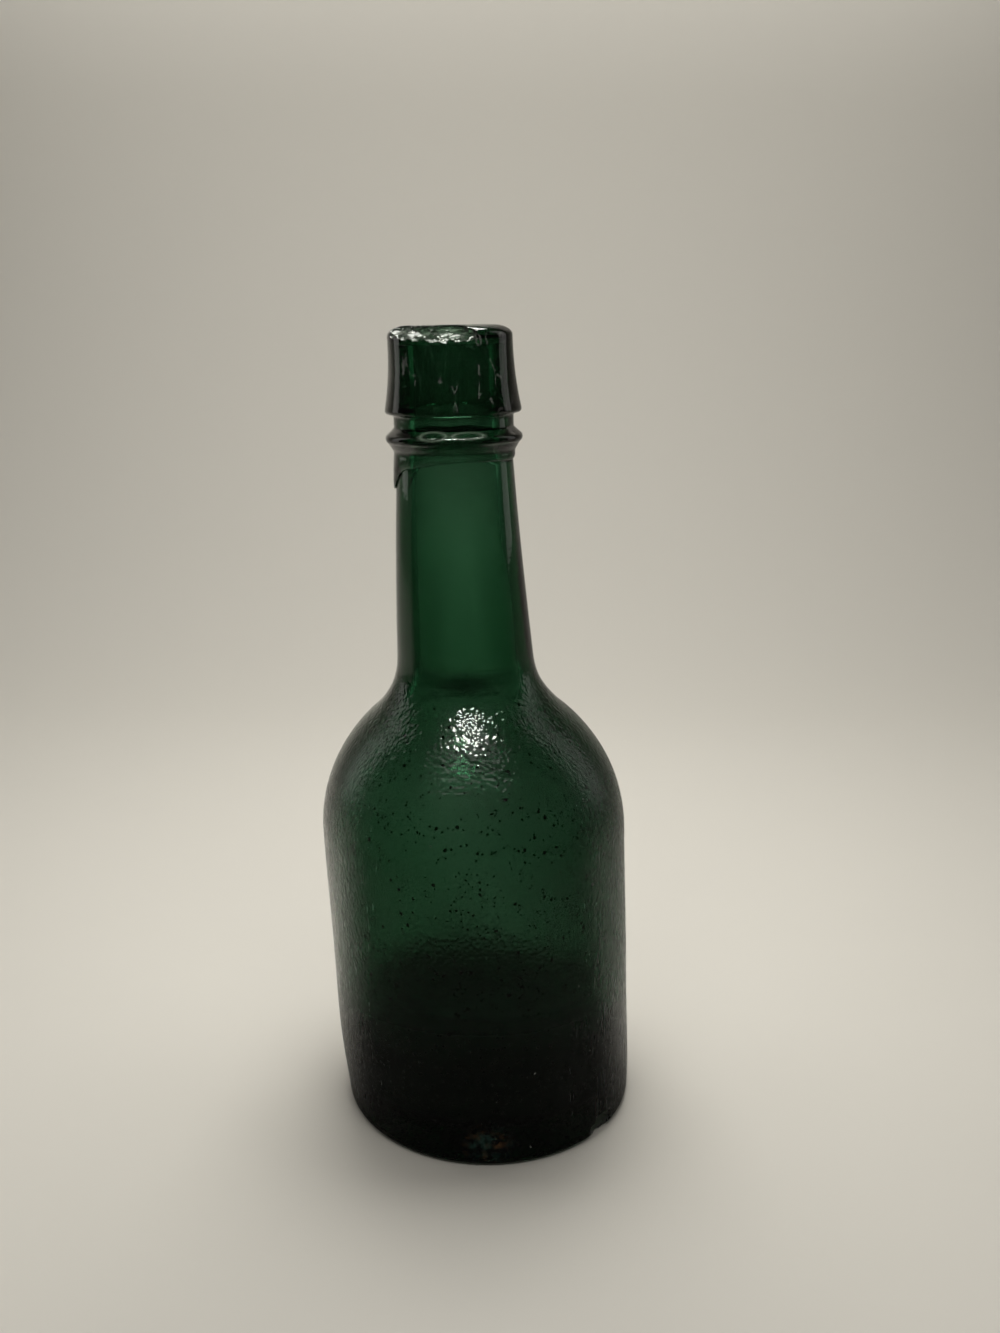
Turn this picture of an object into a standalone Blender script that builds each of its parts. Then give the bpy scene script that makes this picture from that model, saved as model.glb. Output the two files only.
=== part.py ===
"""Hand-blown green glass bottle: a body with a push-up base, an applied lip collar and a string ring."""

import math

import bmesh
import bpy
from mathutils import Matrix

# Overall sizes, in metres
HEIGHT = 0.200
BODY_DIAMETER = 0.0764

# Body: the blown wall, its heel and its push-up base
BODY_WALL = 0.0045
SIDE_HEIGHT = 0.0763
HEEL_RADIUS = 0.004
HEEL_DRAW_IN = 0.0008
BELLY_HEIGHT = 0.024
REST_WIDTH = 0.0042
PUSH_UP_HEIGHT = 0.020
BASE_THICKNESS = 0.0065
HEEL_THICKNESS = 0.008
INNER_HEEL_RADIUS = 0.007
PUSH_UP_POWER = 1.8

# Shoulder and neck
SHOULDER_RADIUS = 0.039
NECK_FILLET_RADIUS = 0.029
NECK_END_DIAMETER = 0.0240
NECK_TAPER = 0.0625
BORE_DIAMETER = 0.0174
BORE_TAPER = 0.034
NECK_END_ROUND = 0.0006

# Applied glass: clearance to the neck, lip collar and string ring
SEAM_GAP = 0.00025
LIP_COVER = 0.0042
COLLAR_HEIGHT = 0.0199
COLLAR_WALL = 0.00205
COLLAR_FLARE = 0.0015
COLLAR_FLARE_POWER = 2.2
COLLAR_EDGE_ROUND = 0.0009
LIP_DOME_HEIGHT = 0.0024
MOUTH_ROUND = 0.0009
GROOVE_HEIGHT = 0.0030
GROOVE_WALL = 0.00045
RING_HEIGHT = 0.0060
RING_NOSE_DROP = 0.0025
RING_NOSE_ROUND = 0.0010
RING_WALL = 0.0023
SKIRT_WALL = 0.0005
SKIRT_HEIGHT = 0.0012
DRIP_LENGTH = 0.0075
DRIP_BEARING = math.radians(183)
DRIP_SPREAD = math.radians(27)

# The neck's end was bent while hot: the lip rises towards one bearing over this depth below the ring
LIP_TILT = math.radians(3.7)
LIP_TILT_BEARING = math.radians(290)
LIP_TILT_DEPTH = 0.020

# The whole bottle leans over its level base, towards -X
LEAN = math.radians(2.28)

# Chips out of the lip's front edge: bearing in degrees, then half sizes round the rim, inwards and downwards
LIP_CHIPS = {
    "lip_chip_front": (272, 0.0048, 0.0042, 0.0024),
    "lip_chip_left": (240, 0.0048, 0.0036, 0.0020),
    "lip_chip_side": (210, 0.0044, 0.0046, 0.0018),
}

# How finely the round forms are divided
SEGMENTS = 48
SHARP_ANGLE = math.radians(40)
MERGE_DISTANCE = 1e-6

# Glass colours, linear
BODY_GREEN = (0.010, 0.036, 0.016, 1)
LIP_GREEN = (0.006, 0.022, 0.011, 1)
GLASS_ROUGHNESS = 0.12
GLASS_IOR = 1.52


# Heights and radii that follow from the driving sizes

BODY_RADIUS = BODY_DIAMETER / 2
NECK_END_HEIGHT = HEIGHT - LIP_COVER
COLLAR_FOOT = HEIGHT - COLLAR_HEIGHT - GROOVE_HEIGHT
RING_TOP = COLLAR_FOOT - SEAM_GAP
RING_FOOT = RING_TOP - RING_HEIGHT
SKIRT_EDGE = RING_FOOT - SKIRT_HEIGHT


def neck_radius(z):
    """Outside of the neck: a straight taper that widens downwards from the neck's cut end."""
    return NECK_END_DIAMETER / 2 + NECK_TAPER * (NECK_END_HEIGHT - z)


def bore_radius(z):
    """Inside of the neck: a straight taper that widens downwards from the mouth."""
    return BORE_DIAMETER / 2 + BORE_TAPER * (NECK_END_HEIGHT - z)


def seat_radius(z):
    """Inside of the applied glass: the neck's taper plus the seam's clearance."""
    return neck_radius(z) + SEAM_GAP


def arc(centre, radius, start, end, steps):
    """Points (r, z) along a circular arc, both ends included."""
    points = []
    for step in range(steps + 1):
        angle = start + (end - start) * step / steps
        points.append((centre[0] + radius * math.cos(angle), centre[1] + radius * math.sin(angle)))
    return points


def shoulder_outline(side_radius, shoulder_radius, fillet_radius, line_radius, taper, steps):
    """Points up a shoulder: a convex arc off the upright side, then a hollow arc into a tapered neck.

    The hollow arc's centre lies one fillet radius off the neck's line, and both radii off the shoulder's
    centre.
    """
    slant = math.atan(taper)
    centre = (side_radius - shoulder_radius, SIDE_HEIGHT)
    across = line_radius(0) + fillet_radius * math.cos(slant) - centre[0]
    up = fillet_radius * math.sin(slant) - centre[1]
    square = 1 + taper ** 2
    half = up - taper * across
    rest = across ** 2 + up ** 2 - (shoulder_radius + fillet_radius) ** 2
    tangent_z = (-half + math.sqrt(half ** 2 - square * rest)) / square
    hollow = (
        line_radius(tangent_z) + fillet_radius * math.cos(slant),
        tangent_z + fillet_radius * math.sin(slant),
    )
    meeting = math.atan2(hollow[1] - centre[1], hollow[0] - centre[0])
    convex = arc(centre, shoulder_radius, 0, meeting, steps)
    concave = arc(hollow, fillet_radius, math.pi + meeting, math.pi + slant, steps)
    return convex + concave[1:]


def push_up(height, floor, radius, steps):
    """Points from the axis outwards over a bell-shaped push-up that ends on its floor at the radius."""
    points = []
    for step in range(steps):
        share = step / steps
        points.append((radius * share, floor + (height - floor) * (1 - share ** PUSH_UP_POWER)))
    return points


def side_outline(steps):
    """Points up the body's side, drawn in a little at the heel and upright from the belly on."""
    points = []
    for step in range(steps):
        z = HEEL_RADIUS + (BELLY_HEIGHT - HEEL_RADIUS) * step / steps
        share = (BELLY_HEIGHT - z) / (BELLY_HEIGHT - HEEL_RADIUS)
        points.append((BODY_RADIUS - HEEL_DRAW_IN * share ** 2, z))
    points.append((BODY_RADIUS, BELLY_HEIGHT))
    points.append((BODY_RADIUS, (BELLY_HEIGHT + SIDE_HEIGHT) / 2))
    return points


def body_outline():
    """The blown shell's section: under the base, up the outside, over the neck's end and down the inside."""
    heel_top = BODY_RADIUS - HEEL_DRAW_IN
    rest_outer = heel_top - HEEL_RADIUS
    rest_inner = rest_outer - REST_WIDTH
    points = push_up(PUSH_UP_HEIGHT, 0, rest_inner, 7)
    points.append((rest_inner, 0))
    points += arc((rest_outer, HEEL_RADIUS), HEEL_RADIUS, -math.pi / 2, 0, 4)
    points += side_outline(3)[1:]
    points += shoulder_outline(BODY_RADIUS, SHOULDER_RADIUS, NECK_FILLET_RADIUS, neck_radius, NECK_TAPER, 9)

    neck_end = neck_radius(NECK_END_HEIGHT)
    points.append((neck_radius(RING_FOOT), RING_FOOT))
    end_centre = (neck_end - NECK_END_ROUND, NECK_END_HEIGHT - NECK_END_ROUND)
    points += arc(end_centre, NECK_END_ROUND, 0, math.pi / 2, 2)
    points.append((bore_radius(NECK_END_HEIGHT), NECK_END_HEIGHT))

    inside = BODY_RADIUS - BODY_WALL
    inner_shoulder = SHOULDER_RADIUS - BODY_WALL
    inner_fillet = NECK_FILLET_RADIUS + BODY_WALL
    upward = shoulder_outline(inside, inner_shoulder, inner_fillet, bore_radius, BORE_TAPER, 7)
    points += upward[::-1]
    inner_heel = (inside - INNER_HEEL_RADIUS, HEEL_THICKNESS + INNER_HEEL_RADIUS)
    points += arc(inner_heel, INNER_HEEL_RADIUS, 0, -math.pi / 2, 4)
    points += push_up(PUSH_UP_HEIGHT + BASE_THICKNESS, HEEL_THICKNESS, inner_heel[0], 7)[::-1]
    return points


def collar_outline():
    """The lip collar's section: groove foot, flared side, domed top, rounded mouth and seat on the neck."""
    top_radius = seat_radius(NECK_END_HEIGHT) + COLLAR_WALL
    edge_radius = top_radius + COLLAR_FLARE
    groove_radius = seat_radius(COLLAR_FOOT) + GROOVE_WALL
    edge_height = HEIGHT - COLLAR_HEIGHT
    dome_foot = HEIGHT - LIP_DOME_HEIGHT
    mouth = bore_radius(NECK_END_HEIGHT)

    points = [(seat_radius(COLLAR_FOOT), COLLAR_FOOT)]
    points += [(groove_radius, COLLAR_FOOT), (groove_radius, edge_height)]
    edge_centre = (edge_radius - COLLAR_EDGE_ROUND, edge_height + COLLAR_EDGE_ROUND)
    points += arc(edge_centre, COLLAR_EDGE_ROUND, -math.pi / 2, 0, 3)
    flare_steps = 5
    for step in range(1, flare_steps):
        share = step / flare_steps
        z = edge_centre[1] + (dome_foot - edge_centre[1]) * share
        points.append((top_radius + COLLAR_FLARE * (1 - share) ** COLLAR_FLARE_POWER, z))
    dome_width = top_radius - mouth - MOUTH_ROUND
    dome_steps = 6
    for step in range(dome_steps + 1):
        angle = math.pi / 2 * step / dome_steps
        r = top_radius - dome_width * (1 - math.cos(angle))
        points.append((r, dome_foot + LIP_DOME_HEIGHT * math.sin(angle)))
    points += arc((mouth + MOUTH_ROUND, HEIGHT - MOUTH_ROUND), MOUTH_ROUND, math.pi / 2, math.pi, 3)[1:]
    seat_height = NECK_END_HEIGHT + SEAM_GAP
    points += [(mouth, seat_height), (seat_radius(seat_height), seat_height)]
    return points


def ring_outline():
    """The string ring's section: a blunt V of glass on the neck, with a thin skirt below it."""
    nose_height = RING_TOP - RING_NOSE_DROP
    nose_radius = seat_radius(nose_height) + RING_WALL
    shelf_radius = seat_radius(RING_TOP) + GROOVE_WALL
    points = [(seat_radius(RING_TOP), RING_TOP), (shelf_radius, RING_TOP)]
    nose = (nose_radius - RING_NOSE_ROUND, nose_height)
    points += arc(nose, RING_NOSE_ROUND, math.radians(55), math.radians(-55), 4)
    points.append((seat_radius(RING_FOOT) + SKIRT_WALL, RING_FOOT))
    points.append((seat_radius(SKIRT_EDGE) + SKIRT_WALL, SKIRT_EDGE))
    points.append((seat_radius(SKIRT_EDGE), SKIRT_EDGE))
    points.append((seat_radius(RING_FOOT), RING_FOOT))
    return points


def turned(outline, closed):
    """A bmesh of the outline spun about the vertical axis."""
    form = bmesh.new()
    corners = [form.verts.new((r, 0, z)) for r, z in outline]
    edges = [form.edges.new(pair) for pair in zip(corners, corners[1:])]
    if closed:
        edges.append(form.edges.new((corners[-1], corners[0])))
    bmesh.ops.spin(
        form,
        geom=corners + edges,
        cent=(0, 0, 0),
        axis=(0, 0, 1),
        angle=2 * math.pi,
        steps=SEGMENTS,
        use_merge=True,
    )
    bmesh.ops.remove_doubles(form, verts=form.verts, dist=MERGE_DISTANCE)
    bmesh.ops.recalc_face_normals(form, faces=form.faces)
    return form


def pull_drip(form):
    """Draws the skirt's lower edge down the neck into one run of glass, keeping it on the neck's taper."""
    for vert in form.verts:
        if vert.co.z > SKIRT_EDGE + MERGE_DISTANCE:
            continue
        bearing = math.atan2(vert.co.y, vert.co.x) % (2 * math.pi)
        drop = DRIP_LENGTH * math.exp(-((bearing - DRIP_BEARING) / DRIP_SPREAD) ** 2)
        radius = math.hypot(vert.co.x, vert.co.y)
        widened = (radius + NECK_TAPER * drop) / radius
        vert.co.x *= widened
        vert.co.y *= widened
        vert.co.z -= drop


def tilt_lip(form):
    """Tips the neck's end and the applied glass, so that the lip rises towards one bearing.

    The tilt grows up to the ring. Points slide along the neck's taper, and the lip's top stays at its height.
    """
    crown = bore_radius(NECK_END_HEIGHT) + MOUTH_ROUND
    start = RING_FOOT - LIP_TILT_DEPTH
    for vert in form.verts:
        if vert.co.z <= start:
            continue
        share = min((vert.co.z - start) / LIP_TILT_DEPTH, 1)
        reach = vert.co.x * math.cos(LIP_TILT_BEARING) + vert.co.y * math.sin(LIP_TILT_BEARING)
        rise = math.tan(LIP_TILT) * (reach - crown) * share
        radius = math.hypot(vert.co.x, vert.co.y)
        narrowed = (radius - NECK_TAPER * rise) / radius
        vert.co.x *= narrowed
        vert.co.y *= narrowed
        vert.co.z += rise


def lean_matrix():
    """A shear that carries the axis towards -X with height and leaves every level section level."""
    lean = Matrix.Identity(4)
    lean[0][2] = -math.tan(LEAN)
    return lean


def glass(name, colour):
    """Bottle glass: deep green, smooth, see-through."""
    material = bpy.data.materials.new(name)
    material.use_nodes = True
    shader = material.node_tree.nodes["Principled BSDF"]
    shader.inputs["Base Color"].default_value = colour
    shader.inputs["Roughness"].default_value = GLASS_ROUGHNESS
    shader.inputs["Metallic"].default_value = 0
    shader.inputs["IOR"].default_value = GLASS_IOR
    shader.inputs["Transmission Weight"].default_value = 1
    material.diffuse_color = colour
    return material


def add_object(name, form, frame):
    """Turns a bmesh into a leaning, smooth-shaded object under the bottle's frame."""
    form.transform(lean_matrix())
    mesh = bpy.data.meshes.new(name)
    form.to_mesh(mesh)
    form.free()
    mesh.shade_smooth()
    mesh.set_sharp_from_angle(angle=SHARP_ANGLE)
    piece = bpy.data.objects.new(name, mesh)
    piece.parent = frame
    bpy.context.scene.collection.objects.link(piece)
    return piece


def chip_lip(collar, frame):
    """Cuts shell-shaped chips out of the collar's upper outer edge."""
    edge_radius = seat_radius(NECK_END_HEIGHT) + COLLAR_WALL
    edge_height = HEIGHT - LIP_DOME_HEIGHT / 4
    for name, (bearing, around, inwards, down) in LIP_CHIPS.items():
        form = bmesh.new()
        bmesh.ops.create_icosphere(form, subdivisions=2, radius=1)
        turn = Matrix.Rotation(math.radians(bearing), 4, "Z")
        place = turn @ Matrix.Translation((edge_radius, 0, edge_height))
        form.transform(place @ Matrix.Diagonal((inwards, around, down, 1)))
        cutter = add_object(name, form, frame)
        cutter.hide_render = True
        cutter.display_type = "WIRE"
        cut = collar.modifiers.new(name, "BOOLEAN")
        cut.operation = "DIFFERENCE"
        cut.solver = "EXACT"
        cut.object = cutter


def clear_scene():
    for old in list(bpy.data.objects):
        bpy.data.objects.remove(old, do_unlink=True)


def main():
    clear_scene()
    frame = bpy.data.objects.new("bottle_frame", None)
    bpy.context.scene.collection.objects.link(frame)

    body_form = turned(body_outline(), closed=False)
    tilt_lip(body_form)
    body = add_object("blown_body", body_form, frame)
    body.data.materials.append(glass("blown_green_glass", BODY_GREEN))

    collar_form = turned(collar_outline(), closed=True)
    tilt_lip(collar_form)
    collar = add_object("lip_collar", collar_form, frame)
    collar.data.materials.append(glass("collar_green_glass", LIP_GREEN))
    chip_lip(collar, frame)

    ring_form = turned(ring_outline(), closed=True)
    pull_drip(ring_form)
    tilt_lip(ring_form)
    ring = add_object("string_ring", ring_form, frame)
    ring.data.materials.append(glass("ring_green_glass", LIP_GREEN))

    # The frame moves the leaning bottle so that its box stands centred on the origin
    across = [corner[0] for corner in body.bound_box]
    frame.location.x = -(min(across) + max(across)) / 2


main()
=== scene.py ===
"""Looks of a hand-blown green glass bottle with an applied lip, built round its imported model."""

import math

import bmesh
import bpy
import numpy as np
from bpy.props import FloatProperty, FloatVectorProperty, IntProperty, PointerProperty
from mathutils import Euler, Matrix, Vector


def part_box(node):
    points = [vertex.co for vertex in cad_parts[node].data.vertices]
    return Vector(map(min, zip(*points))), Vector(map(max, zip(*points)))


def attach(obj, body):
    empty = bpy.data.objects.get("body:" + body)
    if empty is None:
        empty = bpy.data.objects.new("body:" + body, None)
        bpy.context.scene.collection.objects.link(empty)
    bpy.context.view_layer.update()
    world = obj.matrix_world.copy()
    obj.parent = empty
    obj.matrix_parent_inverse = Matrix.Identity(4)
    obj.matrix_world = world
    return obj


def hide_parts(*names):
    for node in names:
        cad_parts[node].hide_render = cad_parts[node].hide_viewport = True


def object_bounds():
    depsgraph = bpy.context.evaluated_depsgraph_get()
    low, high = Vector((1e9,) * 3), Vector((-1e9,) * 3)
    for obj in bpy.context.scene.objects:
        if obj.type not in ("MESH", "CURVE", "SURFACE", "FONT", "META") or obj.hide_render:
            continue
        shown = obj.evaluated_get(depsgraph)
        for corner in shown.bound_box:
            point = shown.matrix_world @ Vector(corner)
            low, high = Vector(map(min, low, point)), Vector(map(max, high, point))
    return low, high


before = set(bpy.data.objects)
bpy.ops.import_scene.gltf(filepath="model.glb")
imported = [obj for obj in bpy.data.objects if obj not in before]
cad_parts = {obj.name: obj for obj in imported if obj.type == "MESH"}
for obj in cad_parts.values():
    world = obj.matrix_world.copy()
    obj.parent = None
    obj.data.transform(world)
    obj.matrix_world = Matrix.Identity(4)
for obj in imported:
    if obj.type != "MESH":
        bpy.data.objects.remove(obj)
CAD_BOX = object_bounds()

bl_info = {
    "name": "Old green bottle",
    "version": (1, 0, 0),
    "blender": (4, 5, 0),
    "location": "3D View > Sidebar > Bottle",
    "description": "Builds a worn, hand-blown glass bottle with its lip and string ring on a pale stage",
    "category": "Add Mesh",
}

MM = 0.001
BODY = "root"

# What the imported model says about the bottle
BODY_LOW, BODY_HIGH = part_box("blown_body")

# The photograph's frame and lens in pixels, and the camera's place and angles fitted to the outline
PHOTO_HEIGHT_PX = 1333
FOCAL_PX = 1350
SENSOR_MM = 36
CAMERA_PLACE = (5.49 * MM, -316.2 * MM, 219.3 * MM)
CAMERA_DOWN = math.radians(17.81)
CAMERA_ROLL = math.radians(-0.13)

# The collar and the string ring: columns of their grids, and how much deeper their glass is dyed
LIP_COLUMNS = 360
LIP_STRENGTH = 1.45


def linear(hex_text):
    """An sRGB hex colour as linear red, green and blue."""
    shares = np.array([int(hex_text[i:i + 2], 16) for i in (1, 3, 5)]) / 255
    curve = np.where(shares <= 0.04045, shares / 12.92, ((shares + 0.055) / 1.055) ** 2.4)
    return tuple(float(value) for value in curve)


def length(name, default, description):
    """A size in metres that a user may change."""
    return FloatProperty(name=name, default=default, description=description, unit="LENGTH", precision=5)


def share(name, default, description):
    """A plain number that a user may change."""
    return FloatProperty(name=name, default=default, description=description, precision=4)


def power(name, watts, description):
    """A lamp's power that a user may change."""
    return FloatProperty(name=name, default=watts, description=description, unit="POWER")


def turn(name, degrees, description):
    """An angle that a user may change, given in degrees."""
    angle = math.radians(degrees)
    return FloatProperty(name=name, default=angle, description=description, subtype="ANGLE")


def colour(name, hex_text, description):
    """A colour that a user may change, given as sRGB hex."""
    light = linear(hex_text)
    return FloatVectorProperty(name=name, default=light, description=description, subtype="COLOR")


class BottleSizes(bpy.types.PropertyGroup):
    """Sizes of the blown body and of the glass laid round its neck."""

    height: length("Height", CAD_BOX[1][2], "From the foot to the top of the lip")
    body_diameter: length("Body diameter", BODY_HIGH[1] - BODY_LOW[1], "Across the upright side")
    body_wall: length("Body wall", 4.5 * MM, "Thickness of the blown side")
    side_height: length("Side height", 76.3 * MM, "Where the upright side turns into the shoulder")
    heel_radius: length("Heel radius", 2.6 * MM, "Rounding between side and foot")
    heel_draw_in: length("Heel draw-in", 0.8 * MM, "How far the side draws in towards the heel")
    belly_height: length("Belly height", 24 * MM, "Height from which the side is upright")
    rest_width: length("Rest width", 4.2 * MM, "Width of the flat ring that the bottle stands on")
    push_up_height: length("Push-up height", 20 * MM, "Height of the hollow under the base")
    base_thickness: length("Base thickness", 6.5 * MM, "Glass over the top of the push-up")
    heel_thickness: length("Heel thickness", 8 * MM, "Glass between the foot and the hollow")
    inner_heel_radius: length("Inner heel radius", 7 * MM, "Rounding at the bottom of the hollow")
    shoulder_radius: length("Shoulder radius", 39 * MM, "Round of the shoulder")
    neck_fillet_radius: length("Neck fillet radius", 22 * MM, "Hollow curve from shoulder to neck")
    neck_end_diameter: length("Neck end diameter", 24 * MM, "Across the neck's cut end, under the lip")
    neck_taper: share("Neck taper", 0.0625, "Radius gained for each unit down the neck")
    bore_diameter: length("Bore diameter", 17.4 * MM, "Across the mouth")
    bore_taper: share("Bore taper", 0.034, "Radius gained for each unit down the bore")
    lip_cover: length("Lip cover", 4.2 * MM, "Glass of the collar above the neck's end")
    collar_height: length("Collar height", 19.9 * MM, "From the lip's top to the collar's lower edge")
    collar_wall: length("Collar wall", 2.3 * MM, "Thickness of the collar at its top")
    collar_flare: length("Collar flare", 1.5 * MM, "How far the collar widens to its lower edge")
    collar_edge_round: length("Collar edge round", 0.9 * MM, "Rounding of the collar's lower edge")
    lip_dome: length("Lip dome", 2.4 * MM, "Height of the domed top")
    mouth_round: length("Mouth round", 0.9 * MM, "Rounding into the bore")
    groove_height: length("Groove height", 3 * MM, "From the collar's lower edge to the string ring")
    groove_wall: length("Groove wall", 0.7 * MM, "Glass on the neck between collar and ring")
    ring_wall: length("Ring wall", 2.9 * MM, "How far the string ring stands out")
    ring_height: length("Ring height", 6 * MM, "From the ring's top to its foot")
    skirt_wall: length("Skirt wall", 0.6 * MM, "Glass that thins out below the ring")
    skirt_height: length("Skirt height", 1.2 * MM, "Least depth of that glass")
    drip_length: length("Drip length", 7.5 * MM, "Run of glass down the neck below the skirt")
    lip_tilt: turn("Lip tilt", 3.7, "How far the neck's end was bent over")
    lip_tilt_bearing: turn("Lip tilt bearing", 290, "Where the lip is highest")
    lip_tilt_depth: length("Lip tilt depth", 20 * MM, "Length of neck that the bend takes")
    lean: turn("Lean", 2.28, "Lean of the axis towards the left")
    base_offset: length("Base offset", 1.908 * MM, "From the box's middle to the base's middle")
    seam: length("Seam", 0.02 * MM, "Clearance left between the fused pieces")


class BottleFinish(bpy.types.PropertyGroup):
    """Colours and strengths of the old glass."""

    glass_colour: colour("Colour in the thickness", "#7fbda0", "What the glass lets through as it thickens")
    absorption: share("Absorption", 470, "How strongly thickness darkens the glass")
    # Pale weathering colour; the haze layer also uses it for painted sheen towards the sides, and it tints
    # the real sheen
    haze_and_sheen_colour: colour("Haze", "#8f8d7c", "Pale weathering on the outside")
    pit_colour: colour("Pits", "#11130d", "Dirt in the pits")
    speck_colour: colour("Specks", "#8f958a", "Bruises and grains of lime")
    # Pale colour of the chips and of the lap marks' rims: partly crushed glass, partly painted glints on
    # their edges
    fracture_and_glint_colour: colour("Fracture", "#b9cdb8", "Crushed glass in the chips")
    # Dark colour of the inside layer: dried dirt, and painted shade in the bottom and at the neck
    residue_and_shade_colour: colour("Residue", "#0d0b06", "Dried deposit in the bottom")
    cool_flake_colour: colour("Cool flakes", "#3f7468", "Rainbow skin at the heel, on its blue side")
    warm_flake_colour: colour("Warm flakes", "#94693a", "Rainbow skin at the heel, on its yellow side")
    around: IntProperty(name="Divisions", default=372, description="Divisions round the body")


class StageFinish(bpy.types.PropertyGroup):
    """Colour of the paper sweep and strength of the lamps."""

    paper: colour("Paper", "#d9d6ce", "Pale paper under and behind the bottle")
    ring_glow: share("Ring lamp glow", 40, "Brightness of the ring lamp's face")
    room_glow: share("Room glow", 6, "Brightness of the room where it is seen past the paper")
    top_power: power("Top power", 1.25, "Power of the soft top panel")
    front_power: power("Front power", 0.85, "Power of the panel over the camera")
    wall_power: power("Wall power", 1.0, "Power of the panel that lights the wall")
    left_power: power("Left power", 0.25, "Power of the left panel")
    right_power: power("Right power", 0.18, "Power of the right panel")
    room: colour("Room", "#4c4b48", "Light of the room round the stage")


# Outlines: points (r, z) in the bottle's half section

def arc(centre, radius, start, end, count=24):
    """Points along a circle from one angle to another."""
    angles = np.linspace(start, end, count)
    return np.stack((centre[0] + radius * np.cos(angles), centre[1] + radius * np.sin(angles)), axis=1)


def neck_end_height(s):
    return s.height - s.lip_cover


def collar_foot(s):
    return s.height - s.collar_height - s.groove_height


def ring_top(s):
    return collar_foot(s) - s.seam


def skirt_edge(s):
    return ring_top(s) - s.ring_height - s.skirt_height


def neck_radius(s, z):
    """Outside of the neck: a straight taper that widens downwards."""
    return s.neck_end_diameter / 2 + s.neck_taper * (neck_end_height(s) - z)


def bore_radius(s, z):
    """Inside of the neck: a straight taper that widens downwards."""
    return s.bore_diameter / 2 + s.bore_taper * (neck_end_height(s) - z)


def seat_radius(s, z):
    """Inside of the applied glass, one seam away from the neck."""
    return neck_radius(s, z) + s.seam


def shoulder_outline(s, side_radius, shoulder_radius, fillet_radius, line_radius, taper):
    """A convex arc off the upright side, tangent to a hollow arc that runs into the tapered neck."""
    slant = math.atan(taper)
    centre = (side_radius - shoulder_radius, s.side_height)
    across = line_radius(s, 0) + fillet_radius * math.cos(slant) - centre[0]
    up = fillet_radius * math.sin(slant) - centre[1]
    square = 1 + taper ** 2
    half = up - taper * across
    rest = across ** 2 + up ** 2 - (shoulder_radius + fillet_radius) ** 2
    tangent_z = (-half + math.sqrt(half ** 2 - square * rest)) / square
    hollow = (
        line_radius(s, tangent_z) + fillet_radius * math.cos(slant),
        tangent_z + fillet_radius * math.sin(slant),
    )
    meeting = math.atan2(hollow[1] - centre[1], hollow[0] - centre[0])
    convex = arc(centre, shoulder_radius, 0, meeting)
    concave = arc(hollow, fillet_radius, math.pi + meeting, math.pi + slant)
    return np.concatenate((convex, concave[1:]))


def push_up(height, floor, radius):
    """A bell: height falls from the axis to the floor as the 1.8th power of the radius."""
    out = np.linspace(0, 1, 30)
    return np.stack((radius * out, floor + (height - floor) * (1 - out ** 1.8)), axis=1)


def body_outline(s):
    """Half section of the blown shell, outside and inside, each stretch with its own point spacing."""
    coarse, middling, fine = 2.2 * MM, 1.6 * MM, 0.5 * MM
    radius = s.body_diameter / 2
    heel_top = radius - s.heel_draw_in
    rest_outer = heel_top - s.heel_radius
    rest_inner = rest_outer - s.rest_width
    low_side = np.linspace(s.heel_radius, s.belly_height, 12)[1:]
    below = (s.belly_height - low_side) / (s.belly_height - s.heel_radius)
    side = np.stack((radius - s.heel_draw_in * below ** 2, low_side), axis=1)
    top = neck_end_height(s)
    fillet = s.neck_fillet_radius
    shoulder = shoulder_outline(s, radius, s.shoulder_radius, fillet, neck_radius, s.neck_taper)
    hollow = radius - s.body_wall
    inner_round = s.shoulder_radius - s.body_wall
    inner_fillet = fillet + s.body_wall
    inner_shoulder = shoulder_outline(s, hollow, inner_round, inner_fillet, bore_radius, s.bore_taper)
    heel = (hollow - s.inner_heel_radius, s.heel_thickness + s.inner_heel_radius)
    inside = np.concatenate((
        [(bore_radius(s, top), top)],
        inner_shoulder[::-1],
        arc(heel, s.inner_heel_radius, 0, -math.pi / 2),
        push_up(s.push_up_height + s.base_thickness, s.heel_thickness, heel[0])[::-1],
    ))
    outside = np.concatenate((
        resampled(push_up(s.push_up_height, 0, rest_inner), coarse),
        resampled(arc((rest_outer, s.heel_radius), s.heel_radius, -math.pi / 2, 0), fine),
        resampled(np.concatenate((side, shoulder, [(neck_radius(s, top), top)])), middling),
    ))
    return outside, resampled(inside, coarse)


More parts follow.
